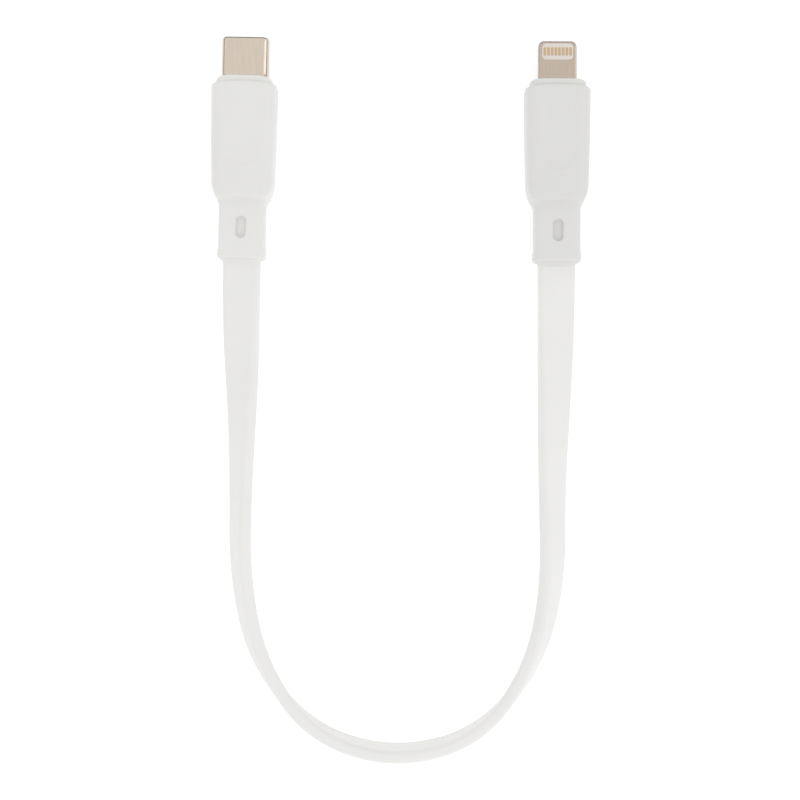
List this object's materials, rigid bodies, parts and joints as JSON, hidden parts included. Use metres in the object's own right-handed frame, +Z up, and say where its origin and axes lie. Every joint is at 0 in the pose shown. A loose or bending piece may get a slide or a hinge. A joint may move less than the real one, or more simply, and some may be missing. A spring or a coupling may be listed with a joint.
{
  "type": "charging cable",
  "caption": "Short flat charging cable with a type C plug and a flat eight-pin plug, white rounded grips and soft strain reliefs, laid in a loop.",
  "frame": {"origin": "on the surface that the cable lies on, under the middle of the two plugs' common box", "axes": "+Y the way both plugs point, +Z up, +X from the type C plug towards the eight-pin plug; the cord loops away towards -Y"},
  "size_m": [0.0661, 0.1268, 0.0065],
  "materials": {
    "connector_metal": "satin nickel with a warm tint",
    "tab_metal": "satin nickel with a warm tint",
    "spring_steel": "bright",
    "tin_steel": "satin tin plate",
    "gold_contact": "gold plated",
    "dark_insulator": "matt",
    "white_insulator": "satin",
    "white_collar": "satin",
    "white_grip": "fine satin",
    "white_soft": "soft satin",
    "cord_jacket": "soft satin",
    "circuit_board": "solder mask",
    "chip_black": "matt",
    "solder": "bright",
    "copper": "bare copper strands",
    "red_insulation": "satin",
    "green_insulation": "satin",
    "white_insulation": "satin",
    "black_insulation": "satin"
  },
  "bodies": {
    "root": {"type_c_shell": "connector_metal", "type_c_insulator": "dark_insulator", "type_c_circuit_board": "circuit_board", "type_c_board_parts": "chip_black", "type_c_solder_joints": "solder", "type_c_shield_top": "tin_steel", "type_c_shield_bottom": "tin_steel", "type_c_inner_mould": "white_collar", "type_c_grip": "white_grip", "type_c_strain_relief": "white_soft", "eight_pin_tab_frame": "tab_metal", "eight_pin_contact_carrier": "white_insulator", "eight_pin_contacts_upper": "gold_contact", "eight_pin_contacts_lower": "gold_contact", "eight_pin_circuit_board": "circuit_board", "eight_pin_board_parts": "chip_black", "eight_pin_solder_joints": "solder", "eight_pin_shield_top": "tin_steel", "eight_pin_shield_bottom": "tin_steel", "eight_pin_inner_mould": "white_collar", "eight_pin_grip": "white_grip", "eight_pin_strain_relief": "white_soft", "cord_jacket": "cord_jacket", "power_wire_insulation": "red_insulation", "data_plus_wire_insulation": "green_insulation", "data_minus_wire_insulation": "white_insulation", "ground_wire_insulation": "black_insulation", "power_wire_core": "copper", "data_plus_wire_core": "copper", "data_minus_wire_core": "copper", "ground_wire_core": "copper"},
    "latch_left": {"type_c_latch_left": "spring_steel"},
    "latch_right": {"type_c_latch_right": "spring_steel"},
    "contacts_upper": {"type_c_contacts_upper": "gold_contact"},
    "contacts_lower": {"type_c_contacts_lower": "gold_contact"}
  },
  "joints": [
    {"name": "latch_left_flex", "type": "hinge", "parent": "root", "child": "latch_left", "pos_m": [-0.03044, 0.01065, 0.00325], "axis": [0, 0, 1], "range_deg": [0, 2], "stiffness_Nm_per_rad": 0.5},
    {"name": "latch_right_flex", "type": "hinge", "parent": "root", "child": "latch_right", "pos_m": [-0.0238, 0.01052, 0.00325], "axis": [0, 0, -1], "range_deg": [0, 2], "stiffness_Nm_per_rad": 0.5},
    {"name": "contacts_upper_flex", "type": "hinge", "parent": "root", "child": "contacts_upper", "pos_m": [-0.02713, 0.00979, 0.00375], "axis": [0.9998, -0.0192, 0], "range_deg": [0, 1.2], "stiffness_Nm_per_rad": 1},
    {"name": "contacts_lower_flex", "type": "hinge", "parent": "root", "child": "contacts_lower", "pos_m": [-0.02713, 0.00979, 0.00275], "axis": [-0.9998, 0.0192, 0], "range_deg": [0, 1.2], "stiffness_Nm_per_rad": 1}
  ]
}
